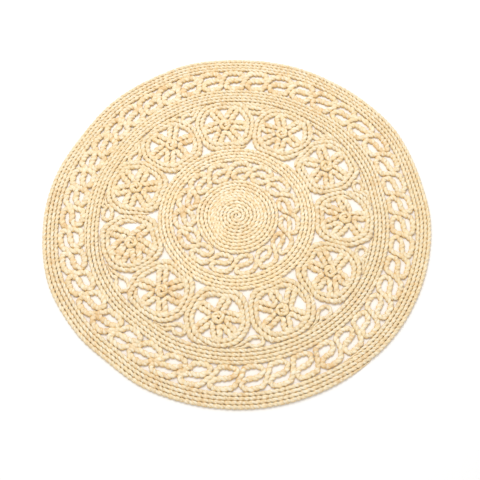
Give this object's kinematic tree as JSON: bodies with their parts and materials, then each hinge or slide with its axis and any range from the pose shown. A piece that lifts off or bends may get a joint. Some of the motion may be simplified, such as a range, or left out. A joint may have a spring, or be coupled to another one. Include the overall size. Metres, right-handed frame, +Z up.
{
  "type": "round straw rug",
  "caption": "Round openwork rug of twisted straw rope: a coiled centre, a ring of wheels between two bands, rings of scrolls, and a solid rim. Lies flat on a floor.",
  "frame": {"origin": "centre of the coiled disc's underside, on the floor", "axes": "+Z up through the rug, +Y from the centre towards wheel_1"},
  "size_m": [0.9995, 1.0028, 0.0104],
  "materials": {
    "straw": "dry twisted straw, matt"
  },
  "bodies": {
    "root": {"centre_disc": "straw", "inner_scrolls": "straw", "inner_band": "straw", "wheel_1": "straw", "wheel_2": "straw", "wheel_3": "straw", "wheel_4": "straw", "wheel_5": "straw", "wheel_6": "straw", "wheel_7": "straw", "wheel_8": "straw", "wheel_9": "straw", "wheel_10": "straw", "wheel_11": "straw", "corner_loop_1": "straw", "corner_loop_2": "straw", "corner_loop_3": "straw", "corner_loop_4": "straw", "corner_loop_5": "straw", "corner_loop_6": "straw", "corner_loop_7": "straw", "corner_loop_8": "straw", "corner_loop_9": "straw", "corner_loop_10": "straw", "corner_loop_11": "straw", "middle_band": "straw", "outer_scrolls": "straw", "outer_band": "straw"}
  },
  "joints": []
}
